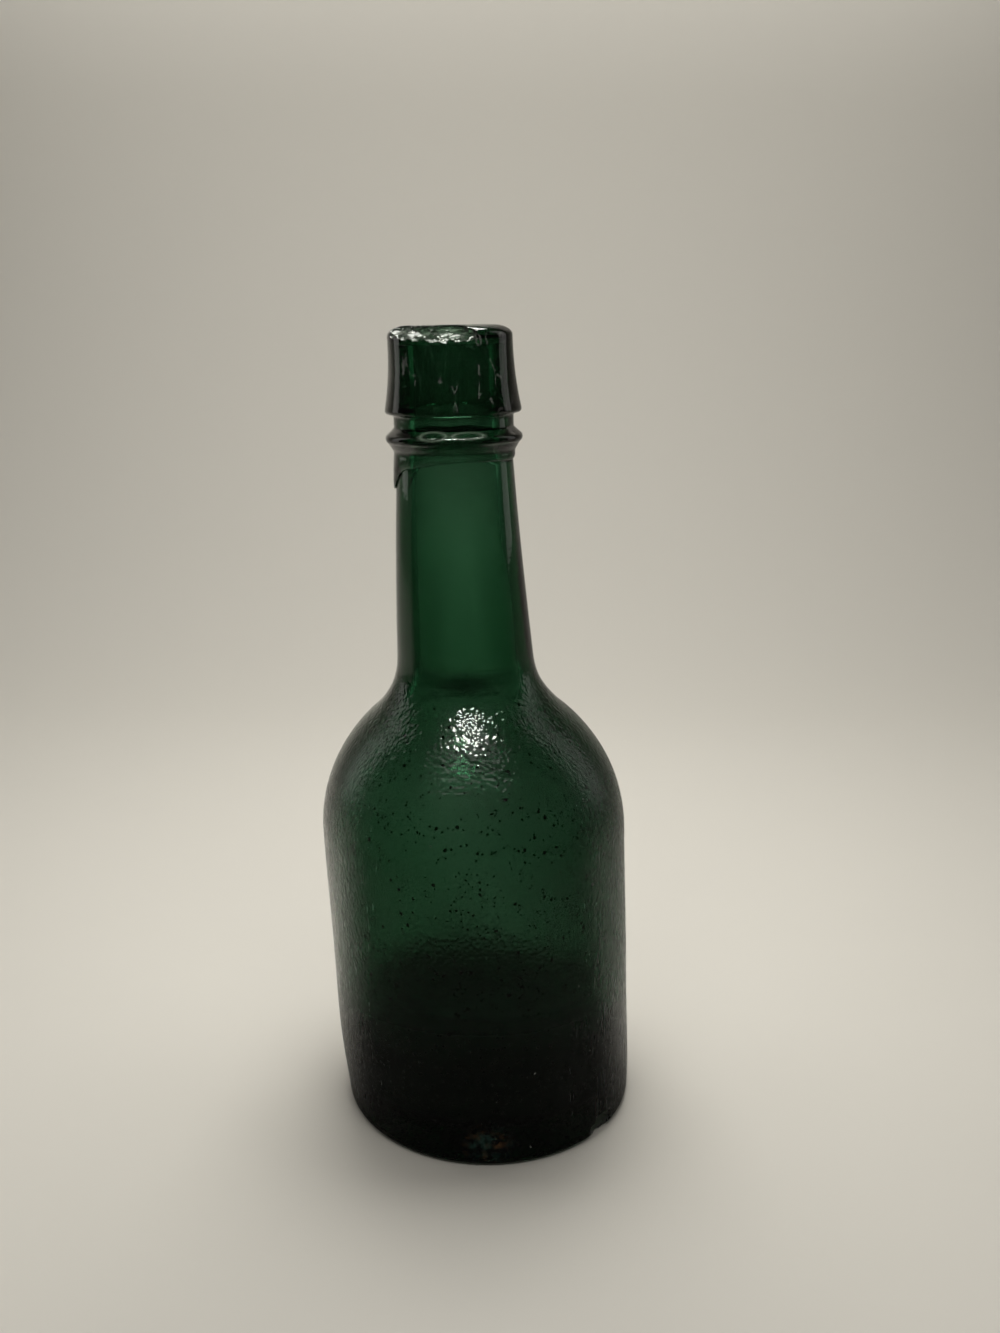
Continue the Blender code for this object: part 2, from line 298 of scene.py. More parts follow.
def collar_outline(s):
    """Half section of the collar: groove, rounded lower edge, flared side, domed top, mouth and seat."""
    outer_spacing, inner_spacing, groove_round = 0.27 * MM, 1.2 * MM, 0.8 * MM
    foot = collar_foot(s)
    top = neck_end_height(s)
    mouth = bore_radius(s, top)
    top_radius = seat_radius(s, top) + s.collar_wall
    edge_round = s.collar_edge_round
    edge = s.height - s.collar_height
    groove_radius = seat_radius(s, foot) + s.groove_wall
    groove_centre = (groove_radius + groove_round, edge - groove_round)
    groove = arc(groove_centre, groove_round, math.pi, math.pi / 2, 8)
    edge_centre = (top_radius + s.collar_flare - edge_round, edge + edge_round)
    lower = arc(edge_centre, edge_round, -math.pi / 2, 0.1, 12)
    rise = np.linspace(0, 1, 20)[1:]
    edge_r, edge_z = lower[-1]
    side_r = top_radius + (edge_r - top_radius) * (1 - rise) ** 2.2
    side = np.stack((side_r, edge_z + (s.height - s.lip_dome - edge_z) * rise), axis=1)
    slope = np.linspace(0, math.pi / 2, 24)[1:]
    dome_width = top_radius - mouth - s.mouth_round
    dome_r = top_radius - dome_width * (1 - np.cos(slope))
    dome = np.stack((dome_r, s.height - s.lip_dome * (1 - np.sin(slope))), axis=1)
    inlet_centre = (mouth + s.mouth_round, s.height - s.mouth_round)
    inlet = arc(inlet_centre, s.mouth_round, math.pi / 2, math.pi, 12)[1:]
    outside = np.concatenate(([(groove_radius, foot)], groove, lower, side, dome, inlet))
    seat = top + s.seam
    inside = np.array([(mouth, seat), (seat_radius(s, seat), seat), (seat_radius(s, foot), foot)])
    return resampled(outside, outer_spacing), resampled(inside, inner_spacing)[1:]


def ring_outline(s):
    """Half section of the string ring: a blunt V on the neck that thins to a skirt below."""
    outer_spacing, inner_spacing = 0.22 * MM, 0.8 * MM
    nose_round, nose_drop, foot_round = 1.2 * MM, 2.5 * MM, 1.6 * MM
    top = ring_top(s)
    foot = top - s.ring_height
    skirt = skirt_edge(s)
    nose = (seat_radius(s, top) + s.ring_wall - nose_round, top - nose_drop)
    upper = np.array([(seat_radius(s, top) + s.groove_wall, top)])
    round_nose = arc(nose, nose_round, math.radians(60), math.radians(-60), 16)
    foot_centre = (seat_radius(s, foot) + s.skirt_wall + foot_round, foot)
    fillet = arc(foot_centre, foot_round, math.radians(135), math.radians(180), 8)
    down = np.linspace(0, 1, 10)[1:]
    skirt_z = foot + (skirt - foot) * down
    skirt_r = seat_radius(s, skirt_z) + s.skirt_wall * np.sqrt(1 - down ** 2 * 0.96)
    skirt_line = np.stack((skirt_r, skirt_z), axis=1)
    outside = np.concatenate((upper, round_nose, fillet, skirt_line))[::-1]
    inside = np.array([(seat_radius(s, top), top), (seat_radius(s, skirt), skirt)])
    return resampled(outside, outer_spacing), resampled(inside, inner_spacing)[1:]


def resampled(points, spacing):
    """The same line with its points one spacing apart."""
    steps = np.linalg.norm(np.diff(points, axis=0), axis=1)
    along = np.concatenate(([0], np.cumsum(steps)))
    places = np.linspace(0, along[-1], max(2, int(round(along[-1] / spacing)) + 1))
    return np.stack([np.interp(places, along, column) for column in points.T], axis=1)


# Forms: grids of points, one row for each point of the outline and one column for each bearing

def bearings(count):
    return np.linspace(0, 2 * math.pi, count, endpoint=False)


def section_grid(outline, columns):
    """Radius, height and bearing of a form's grid points, with a mark on the rows of its outside."""
    outer, inner = outline
    line = np.concatenate((outer, inner))
    is_outer = (np.arange(len(line)) < len(outer))[:, None]
    return line[:, :1], line[:, 1:], bearings(columns)[None, :], is_outer


def ripple(angle, z, seed, amplitude, waves, rise):
    """A sum of cosine waves round and up the glass, each with its own count, pitch and phase."""
    draws = np.random.default_rng(seed)
    total = np.zeros(np.broadcast(angle, z).shape)
    for _ in range(waves):
        count = draws.integers(1, 9)
        pitch = draws.uniform(-1, 1) * rise
        phase = draws.uniform(0, 2 * math.pi)
        total += np.cos(count * angle + pitch * z + phase) / math.sqrt(waves)
    return amplitude * total


def hump(value, centre, spread):
    """A bell curve of height one."""
    return np.exp(-((value - centre) / spread) ** 2)


def axis_x(s, z):
    """The leaning axis: a straight shear, with the slight bends that the glass took while it was hot.

    Each bend is a bell curve up the axis, given by its size, height and spread in millimetres.
    """
    start = (BODY_LOW[0] + BODY_HIGH[0]) / 2 + s.base_offset
    bends = ((0.6, 98, 20), (-0.3, 150, 22), (0.5, 45, 30), (1.0, 0, 18))
    bend = sum(size * hump(z, height * MM, spread * MM) for size, height, spread in bends)
    return start - math.tan(s.lean) * z + bend * MM


def placed(s, radius, angle, z):
    """Points on circles round the leaning axis, with the neck's end tipped over.

    The tip's rise is the tilt's tangent times the distance towards its bearing, less the crown's radius.
    It grows from nothing to all of itself up the bent length, and the points slide along the neck's taper.
    """
    crown = bore_radius(s, neck_end_height(s)) + s.mouth_round
    bend_top = ring_top(s) - s.ring_height
    bent = np.clip((z - bend_top) / s.lip_tilt_depth + 1, 0, 1)
    rise = math.tan(s.lip_tilt) * (radius * np.cos(angle - s.lip_tilt_bearing) - crown) * bent
    height = z + rise
    slid = radius - s.neck_taper * rise
    return np.stack((axis_x(s, height) + slid * np.cos(angle), slid * np.sin(angle), height), axis=-1)


def scooped(s, points, bearing, radius, height, half, push, ripples=0.0):
    """Pushes points inside an egg-shaped scoop along one direction until they reach its far wall.

    The scoop's half sizes and the push run outwards, round and up. With q the point seen from the scoop's
    centre and d the push, both divided by the half sizes, the step t solves |q + t d| = 1, which is
    a t^2 + 2 b t + c = 0. Ripples in the scoop's size, round a point beside it, give the shell-like
    waves of broken glass. The second result marks the points that moved.
    """
    ripple_origin, ripple_pitch = (1, 0.4, 0.6), 0.14 * MM
    angle = math.radians(bearing)
    out = (math.cos(angle), math.sin(angle), 0)
    axes = np.array((out, (-out[1], out[0], 0), (0, 0, 1)))
    centre = np.array((axis_x(s, height) + radius * out[0], radius * out[1], height))
    local = (points - centre) @ axes.T
    half = np.array(half)
    waves = np.sin(np.linalg.norm(local - half * ripple_origin, axis=-1) / ripple_pitch)
    q = local / half / (1 + ripples * waves)[..., None]
    d = np.array(push) / half
    a = d @ d
    b = q @ d
    c = (q * q).sum(axis=-1) - 1
    inside = c < 0
    step = (-b + np.sqrt(np.maximum(b * b - a * c, 0))) / a
    moved = local + np.where(inside, step, 0)[..., None] * np.array(push)
    return moved @ axes + centre, inside


def chipped_lip(s, points):
    """Breaks three large flakes and many small nicks out of the lip's front and left edge."""
    push, ripples = (-0.6, 0, -0.8), 0.07
    edge = seat_radius(s, neck_end_height(s)) + s.collar_wall
    top = s.height - 0.6 * MM
    flakes = [
        (272, edge, top, (4.2 * MM, 4.8 * MM, 2.3 * MM)),
        (240, edge, top, (3.4 * MM, 4.8 * MM, 2.0 * MM)),
        (210, edge, top, (4.6 * MM, 4.4 * MM, 1.8 * MM)),
    ]
    draws = np.random.default_rng(12)
    for bearing in np.linspace(198, 291, 26):
        size = draws.uniform(0.45, 1.25) * MM
        place = bearing + draws.uniform(-2, 2)
        reach = edge - draws.uniform(0, 0.6) * MM
        depth = s.height - draws.uniform(1.2, 2.6) * MM
        flakes.append((place, reach, depth, (0.8 * size, 1.3 * size, size)))
    broken = np.zeros(points.shape[:2], bool)
    for bearing, radius, height, half in flakes:
        points, inside = scooped(s, points, bearing, radius, height, half, push, ripples)
        broken |= inside
    return points, broken


def glass_mesh(name, points, closed, marks):
    """A mesh from a grid of points that closes round the bottle, with one attribute for each mark.

    Rows follow the outline and columns the bearing. Rows that shrink to a point are merged.
    """
    merge_distance, sharpest_smooth = 1e-7, math.radians(35)
    rows, columns = points.shape[:2]
    index = np.arange(rows * columns).reshape(rows, columns)
    if closed:
        index = np.concatenate((index, index[:1]))
    right = np.roll(index, -1, axis=1)
    quads = np.stack((index[:-1], right[:-1], right[1:], index[1:]), axis=-1).reshape(-1, 4)
    mesh = bpy.data.meshes.new(name)
    mesh.from_pydata(points.reshape(-1, 3).tolist(), [], quads.tolist())
    for mark, values in marks.items():
        layer = mesh.attributes.new(mark, "FLOAT", "POINT")
        spread = np.broadcast_to(values, (rows, columns)).astype(np.float32)
        layer.data.foreach_set("value", spread.ravel())
    form = bmesh.new()
    form.from_mesh(mesh)
    bmesh.ops.remove_doubles(form, verts=form.verts, dist=merge_distance)
    form.to_mesh(mesh)
    form.free()
    mesh.shade_smooth()
    mesh.set_sharp_from_angle(angle=sharpest_smooth)
    piece = bpy.data.objects.new(name, mesh)
    bpy.context.scene.collection.objects.link(piece)
    return piece


def drip(s, angle):
    """How far down the neck the skirt runs on: one run on the left with a long tail, and slight waves."""
    bearing = np.mod(angle, 2 * math.pi)
    run = 0.82 * hump(bearing, math.radians(183), math.radians(20))
    tail = 0.18 * hump(bearing, math.radians(205), math.radians(48))
    return s.drip_length * (run + tail) + 0.2 * MM * (np.cos(3 * angle + 1.0) + 1)


def stage_light(name, location, target, energy, size, tint):
    """A rectangular lamp that looks at a point."""
    data = bpy.data.lights.new(name, "AREA")
    data.shape = "RECTANGLE"
    data.size, data.size_y = size
    data.energy = energy
    data.color = tint
    lamp = bpy.data.objects.new(name, data)
    lamp.location = location
    lamp.rotation_euler = (Vector(target) - Vector(location)).to_track_quat("-Z", "Y").to_euler()
    lamp.visible_camera = False
    bpy.context.scene.collection.objects.link(lamp)
    return lamp


# Materials

# Real sizes of the marks on the glass, and the heights on the bottle between which its surface changes
STREAK_WIDTH, STREAK_LENGTH = 0.7 * MM, 14 * MM
BLOTCH_SIZE = 15 * MM
GRAIN_SIZE, GRAIN_DEPTH = 0.9 * MM, 0.19 * MM
RAGGED_SIZE, RAGGED_REACH = 1.2 * MM, 0.8 * MM
BRUISE_SPACING = 3.2 * MM
SCRATCH_SPACING, SCRATCH_LENGTH = 4 * MM, 18 * MM
PATCH_SIZE = 3 * MM
FLAKE_SIZE = 1.6 * MM
FLAKE_PLACE = (3 * MM, -37 * MM, 7 * MM)
SKIN_NONE, SKIN_FULL = 114 * MM, 92 * MM
ETCHED_NONE, ETCHED_FULL = 122 * MM, 112 * MM
SMOOTHER_NONE, SMOOTHER_FULL = 106 * MM, 96 * MM
GLASS_IOR = 1.52
FILM_IOR = 1.2

# Pits and grit: spacing, faint edge and dark core as shares of it, share of the cells left clean, and depth
PITS = (3.0 * MM, 0.155, 0.095, 0.40, 1.0)
GRIT = (1.2 * MM, 0.25, 0.13, 0.50, 0.6)


def add_node(tree, kind, inputs=None, **settings):
    """Adds a node with its settings, links or sets its inputs, and gives its outputs."""
    node = tree.nodes.new(kind)
    for key, value in settings.items():
        setattr(node, key, value)
    for key, value in (inputs or {}).items():
        if isinstance(value, bpy.types.NodeSocket):
            tree.links.new(value, node.inputs[key])
        else:
            node.inputs[key].default_value = value
    return node.outputs


def bare_tree(owner):
    """The emptied node tree of a material or a world."""
    owner.use_nodes = True
    owner.node_tree.nodes.clear()
    return owner.node_tree


def ray_kinds(tree):
    """Two masks: rays that the glass mirrors, and rays that reach the eye straight or through the glass."""
    path = add_node(tree, "ShaderNodeLightPath")
    straight, glossy, through = path["Is Camera Ray"], path["Is Glossy Ray"], path["Is Transmission Ray"]
    mirrored = add_node(tree, "ShaderNodeMath", {0: glossy, 1: through}, operation="SUBTRACT")[0]
    seen = add_node(tree, "ShaderNodeMath", {0: straight, 1: through}, operation="MAXIMUM")[0]
    return mirrored, seen


def old_glass(name, finish, strength=1.0):
    """Soda-lime bottle glass, blown and fire-polished, then weathered in the ground.

    It is clear deep green in thin walls and near black where it is thick. The lip and neck stayed smooth.
    The body has a dull skin with upright streaks, dirty pits and pale bruises, and painted sheen towards
    its sides. A dark layer dried inside the bottom is partly dirt and partly painted shade, and painted
    shade darkens the inside at the front of the neck's foot and, in part, up the neck.
    """
    material = bpy.data.materials.new(name)
    tree = bare_tree(material)
    place = add_node(tree, "ShaderNodeTexCoord")["Object"]
    sideways, inwards, height = add_node(tree, "ShaderNodeSeparateXYZ", {0: place})
    seam, outside, broken, deposit_and_shade = (
        add_node(tree, "ShaderNodeAttribute", attribute_name=mark)["Fac"]
        for mark in ("seam", "outside", "broken", "deposit_and_shade")
    )
    off_middle = add_node(tree, "ShaderNodeMath", {0: sideways}, operation="ABSOLUTE")[0]

    # The weathered skin starts at the shoulder
    age = add_node(
        tree, "ShaderNodeMapRange", {"Value": height, "From Min": SKIN_NONE, "From Max": SKIN_FULL}
    )[0]
    skin = add_node(tree, "ShaderNodeMath", {0: age, 1: outside}, operation="MULTIPLY")[0]

    # Upright streaks, wide blotches, and a fine grain
    streak_scale = (1 / STREAK_WIDTH, 1 / STREAK_WIDTH, 1 / STREAK_LENGTH)
    stretched = add_node(tree, "ShaderNodeMapping", {"Vector": place, "Scale": streak_scale})[0]
    streak_noise = add_node(
        tree, "ShaderNodeTexNoise", {"Vector": stretched, "Scale": 1, "Detail": 3, "Roughness": 0.6}
    )[0]
    streaks = add_node(
        tree, "ShaderNodeMapRange", {"Value": streak_noise, "From Min": 0.45, "From Max": 0.70}
    )[0]
    blotch_noise = add_node(
        tree,
        "ShaderNodeTexNoise",
        {"Vector": place, "Scale": 1 / BLOTCH_SIZE, "Detail": 4, "Roughness": 0.6},
    )[0]
    blotches = add_node(
        tree,
        "ShaderNodeMapRange",
        {"Value": blotch_noise, "From Min": 0.40, "From Max": 0.65, "To Min": 0.5},
    )[0]
    grain = add_node(tree, "ShaderNodeTexNoise", {"Vector": place, "Scale": 1 / GRAIN_SIZE, "Detail": 0})[0]

    # Ragged dirty pits up to a millimetre across and a finer dark grit, both thicker in the blotches
    wobble = add_node(tree, "ShaderNodeTexNoise", {"Vector": place, "Scale": 1 / RAGGED_SIZE})["Color"]
    ragged = add_node(
        tree,
        "ShaderNodeVectorMath",
        {0: wobble, 1: (RAGGED_REACH,) * 3, 2: place},
        operation="MULTIPLY_ADD",
    )[0]
    dirt = 0.0
    for spacing, edge, core, clean, depth in (PITS, GRIT):
        cells = add_node(tree, "ShaderNodeTexVoronoi", {"Vector": ragged, "Scale": 1 / spacing})
        spots = add_node(
            tree,
            "ShaderNodeMapRange",
            {"Value": cells["Distance"], "From Min": edge, "From Max": core, "To Max": depth},
        )[0]
        chosen = add_node(
            tree, "ShaderNodeMath", {0: cells["Color"], 1: clean}, operation="GREATER_THAN"
        )[0]
        strewn = add_node(tree, "ShaderNodeMath", {0: spots, 1: chosen}, operation="MULTIPLY")[0]
        dirt = add_node(tree, "ShaderNodeMath", {0: dirt, 1: strewn}, operation="MAXIMUM")[0]
    blotched_dirt = add_node(tree, "ShaderNodeMath", {0: dirt, 1: blotches}, operation="MULTIPLY")[0]
    pits = add_node(tree, "ShaderNodeMath", {0: blotched_dirt, 1: skin}, operation="MULTIPLY")[0]

    # Pale bruises half a millimetre across, a few on the side and more round the heel
    rarity = add_node(
        tree,
        "ShaderNodeMapRange",
        {"Value": height, "From Min": 32 * MM, "From Max": 4 * MM, "To Min": 0.86, "To Max": 0.60},
    )[0]
    bruise_cells = add_node(tree, "ShaderNodeTexVoronoi", {"Vector": ragged, "Scale": 1 / BRUISE_SPACING})
    bruise_spots = add_node(
        tree,
        "ShaderNodeMapRange",
        {"Value": bruise_cells["Distance"], "From Min": 0.10, "From Max": 0.05, "To Max": 0.5},
    )[0]
    bruise_pick = add_node(
        tree, "ShaderNodeMath", {0: bruise_cells["Color"], 1: rarity}, operation="GREATER_THAN"
    )[0]
    bruises = add_node(tree, "ShaderNodeMath", {0: bruise_spots, 1: bruise_pick}, operation="MULTIPLY")[0]
    specks = add_node(tree, "ShaderNodeMath", {0: bruises, 1: skin}, operation="MULTIPLY")[0]

    # Fine scratches on the front of the collar: parts of the borders of tall cells
    scratch_scale = (1 / SCRATCH_SPACING, 1 / SCRATCH_SPACING, 1 / SCRATCH_LENGTH)
    upright = add_node(tree, "ShaderNodeMapping", {"Vector": ragged, "Scale": scratch_scale})[0]
    borders = add_node(
        tree, "ShaderNodeTexVoronoi", {"Vector": upright, "Scale": 1}, feature="DISTANCE_TO_EDGE"
    )[0]
    patches = add_node(tree, "ShaderNodeTexNoise", {"Vector": place, "Scale": 1 / PATCH_SIZE})[0]
    scratches = 0.5
    limits = (
        (borders, 0.030, 0.012),
        (patches, 0.53, 0.59),
        (height, 181 * MM, 184 * MM),
        (inwards, -5 * MM, -10 * MM),
    )
    for value, none, full in limits:
        part = add_node(tree, "ShaderNodeMapRange", {"Value": value, "From Min": none, "From Max": full})[0]
        scratches = add_node(tree, "ShaderNodeMath", {0: scratches, 1: part}, operation="MULTIPLY")[0]

    # Pale haze in the streaks, a trace on the front and more at the sides. The streaks are weathering; the
    # paleness that grows towards the left and right sides is painted sheen of the edges.
    side_haze_and_sheen = add_node(
        tree,
        "ShaderNodeMapRange",
        {"Value": off_middle, "From Min": 12 * MM, "From Max": 34 * MM, "To Min": 0.001, "To Max": 0.014},
    )[0]
    streak_haze_and_sheen = add_node(tree, "ShaderNodeMath", {0: streaks, 1: side_haze_and_sheen}, operation="MULTIPLY")[0]
    haze_and_sheen = add_node(tree, "ShaderNodeMath", {0: streak_haze_and_sheen, 1: skin}, operation="MULTIPLY")[0]

    # Rainbow flakes at the front of the heel
    from_heel = add_node(
        tree, "ShaderNodeVectorMath", {0: place, 1: FLAKE_PLACE}, operation="DISTANCE"
    )["Value"]
    heel_patch = add_node(
        tree, "ShaderNodeMapRange", {"Value": from_heel, "From Min": 7 * MM, "From Max": 2 * MM}
    )[0]
    flake_noise = add_node(tree, "ShaderNodeTexNoise", {"Vector": ragged, "Scale": 1 / FLAKE_SIZE})[0]
    flake_spots = add_node(
        tree, "ShaderNodeMapRange", {"Value": flake_noise, "From Min": 0.42, "From Max": 0.60}
    )[0]
    flakes = add_node(tree, "ShaderNodeMath", {0: heel_patch, 1: flake_spots}, operation="MULTIPLY")[0]
    hue = add_node(tree, "ShaderNodeMapRange", {"Value": patches, "From Min": 0.42, "From Max": 0.58})[0]
    flake_colour = add_node(
        tree,
        "ShaderNodeMix",
        {0: hue, 6: (*finish.cool_flake_colour, 1), 7: (*finish.warm_flake_colour, 1)},
        data_type="RGBA",
    )[2]

    # Layers from the bottom up: amount, colour, how much of the glass they cover, and how soon they dye it.
    # Dark ones dye it at once and so have no pale rim.
    tint = (1, 1, 1, 1)
    cover = 0.0
    layers = (
        # Weathering in the streaks, with painted sheen towards the sides
        (haze_and_sheen, (*finish.haze_and_sheen_colour, 1), 1.0, 1.0),
        (specks, (*finish.speck_colour, 1), 0.7, 1.0),
        (scratches, (*finish.speck_colour, 1), 0.4, 1.0),
        (flakes, flake_colour, 0.25, 20.0),
        (pits, (*finish.pit_colour, 1), 0.9, 40.0),
        # Inside layer: dirt, with painted shade in the bottom and at the neck
        (deposit_and_shade, (*finish.residue_and_shade_colour, 1), 0.97, 12.0),
        # Chips and lap rims: crushed glass, with painted glints
        (broken, (*finish.fracture_and_glint_colour, 1), 0.12, 1.0),
    )
    for amount, over, hold, speed in layers:
        dyed = add_node(
            tree, "ShaderNodeMath", {0: amount, 1: speed}, operation="MULTIPLY", use_clamp=True
        )[0]
        tint = add_node(tree, "ShaderNodeMix", {0: dyed, 6: tint, 7: over}, data_type="RGBA")[2]
        cover = add_node(
            tree, "ShaderNodeMath", {0: amount, 1: hold, 2: cover}, operation="MULTIPLY_ADD", use_clamp=True
        )[0]
    clear = add_node(tree, "ShaderNodeMath", {0: 1.0, 1: cover}, operation="SUBTRACT")[0]

    # Smooth lip and neck, dull skin, and duller streaks that show at the sides and hardly on the front
    streak_depth = add_node(
        tree,
        "ShaderNodeMapRange",
        {"Value": off_middle, "From Min": 8 * MM, "From Max": 36 * MM, "To Min": 0.006, "To Max": 0.04},
    )[0]
    dull = add_node(
        tree, "ShaderNodeMath", {0: streaks, 1: streak_depth, 2: 0.22}, operation="MULTIPLY_ADD"
    )[0]
    rough = add_node(tree, "ShaderNodeMath", {0: dull, 1: skin, 2: 0.03}, operation="MULTIPLY_ADD")[0]
    rough_broken = add_node(
        tree, "ShaderNodeMath", {0: broken, 1: 0.06, 2: rough}, operation="MULTIPLY_ADD"
    )[0]
    rough_all = add_node(
        tree,
        "ShaderNodeMath",
        {0: deposit_and_shade, 1: 0.8, 2: rough_broken},
        operation="MULTIPLY_ADD",
        use_clamp=True,
    )[0]

    # A dull film lies over the skin, thickest on the left
    leftward = add_node(
        tree,
        "ShaderNodeMapRange",
        {"Value": sideways, "From Min": -30 * MM, "From Max": 30 * MM, "To Min": 0.5, "To Max": 0.125},
    )[0]
    film = add_node(tree, "ShaderNodeMath", {0: leftward, 1: skin}, operation="MULTIPLY")[0]

    # Relief: the grain of the etched skin, which reaches a little further up than the dullness
    etched = add_node(
        tree,
        "ShaderNodeMapRange",
        {"Value": height, "From Min": ETCHED_NONE, "From Max": ETCHED_FULL, "To Min": 0.05},
    )[0]
    smoother = add_node(
        tree,
        "ShaderNodeMapRange",
        {
            "Value": height,
            "From Min": SMOOTHER_NONE,
            "From Max": SMOOTHER_FULL,
            "To Min": 1.0,
            "To Max": 0.6,
        },
    )[0]
    etched_out = add_node(tree, "ShaderNodeMath", {0: etched, 1: outside}, operation="MULTIPLY")[0]
    worn = add_node(tree, "ShaderNodeMath", {0: etched_out, 1: smoother}, operation="MULTIPLY")[0]
    relief = add_node(tree, "ShaderNodeMath", {0: grain, 1: worn}, operation="MULTIPLY")[0]
    bump = add_node(tree, "ShaderNodeBump", {"Height": relief, "Strength": 1.0, "Distance": GRAIN_DEPTH})[0]

    # The fused seams bend no light
    index = add_node(
        tree, "ShaderNodeMath", {0: seam, 1: 1 - GLASS_IOR, 2: GLASS_IOR}, operation="MULTIPLY_ADD"
    )[0]
    shader = add_node(tree, "ShaderNodeBsdfPrincipled", {
        "Base Color": tint,
        "Roughness": rough_all,
        "IOR": index,
        "Sheen Weight": 0.04,
        "Sheen Roughness": 0.35,
        "Sheen Tint": (*finish.haze_and_sheen_colour, 1),
        "Transmission Weight": clear,
        "Coat Weight": film,
        "Coat Roughness": 0.45,
        "Coat IOR": FILM_IOR,
        "Normal": bump,
    })[0]
    thickness = add_node(
        tree,
        "ShaderNodeVolumeAbsorption",
        {"Color": (*finish.glass_colour, 1), "Density": strength * finish.absorption},
    )[0]
    add_node(tree, "ShaderNodeOutputMaterial", {"Surface": shader, "Volume": thickness})
    return material


def paper(name, tint, room, room_glow):
    """Matt paper, pale and plain.

    As a mirror image in the glass it is dim in front of the bottle and on its right. Far from the bottle it
    fades into the pale room, for the eye and for light through the glass.
    """
    material = bpy.data.materials.new(name)
    tree = bare_tree(material)
    mirrored, seen = ray_kinds(tree)
    place = add_node(tree, "ShaderNodeTexCoord")["Object"]
    across, along, _ = add_node(tree, "ShaderNodeSeparateXYZ", {0: place})
    front = add_node(
        tree,
        "ShaderNodeMapRange",
        {"Value": along, "From Min": 60 * MM, "From Max": -20 * MM, "To Max": 0.9},
    )[0]
    right = add_node(
        tree, "ShaderNodeMapRange", {"Value": across, "From Min": 0, "From Max": 80 * MM, "To Max": 0.5}
    )[0]
    dark = add_node(tree, "ShaderNodeMath", {0: front, 1: right}, operation="MAXIMUM")[0]
    dimmed = add_node(tree, "ShaderNodeMath", {0: mirrored, 1: dark}, operation="MULTIPLY")[0]
    shade = add_node(
        tree, "ShaderNodeMix", {0: dimmed, 6: (*tint, 1), 7: (0, 0, 0, 1)}, data_type="RGBA"
    )[2]
    sheet = add_node(tree, "ShaderNodeBsdfDiffuse", {"Color": shade})[0]
    off_middle = add_node(tree, "ShaderNodeMath", {0: across}, operation="ABSOLUTE")[0]
    beside = add_node(
        tree, "ShaderNodeMapRange", {"Value": off_middle, "From Min": 400 * MM, "From Max": 850 * MM}
    )[0]
    ahead = add_node(
        tree, "ShaderNodeMapRange", {"Value": along, "From Min": -250 * MM, "From Max": -700 * MM}
    )[0]
    far = add_node(tree, "ShaderNodeMath", {0: beside, 1: ahead}, operation="MAXIMUM")[0]
    faded = add_node(tree, "ShaderNodeMath", {0: far, 1: seen}, operation="MULTIPLY")[0]
    air = add_node(tree, "ShaderNodeEmission", {"Color": (*room, 1), "Strength": room_glow})[0]
    shader = add_node(tree, "ShaderNodeMixShader", {0: faded, 1: sheet, 2: air})[0]
    add_node(tree, "ShaderNodeOutputMaterial", {"Surface": shader})
    return material


def lamp_face(name, glow):
    """The lit face of a lamp, slightly warm."""
    material = bpy.data.materials.new(name)
    tree = bare_tree(material)
    light = add_node(tree, "ShaderNodeEmission", {"Color": (1.0, 0.97, 0.92, 1), "Strength": glow})[0]
    add_node(tree, "ShaderNodeOutputMaterial", {"Surface": light})
    return material


def settle(piece, node, material):
    """Gives a piece its material, lets it ride on the bottle and stand for its CAD node."""
    piece.data.materials.append(material)
    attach(piece, BODY)
    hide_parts(node)


# Operators

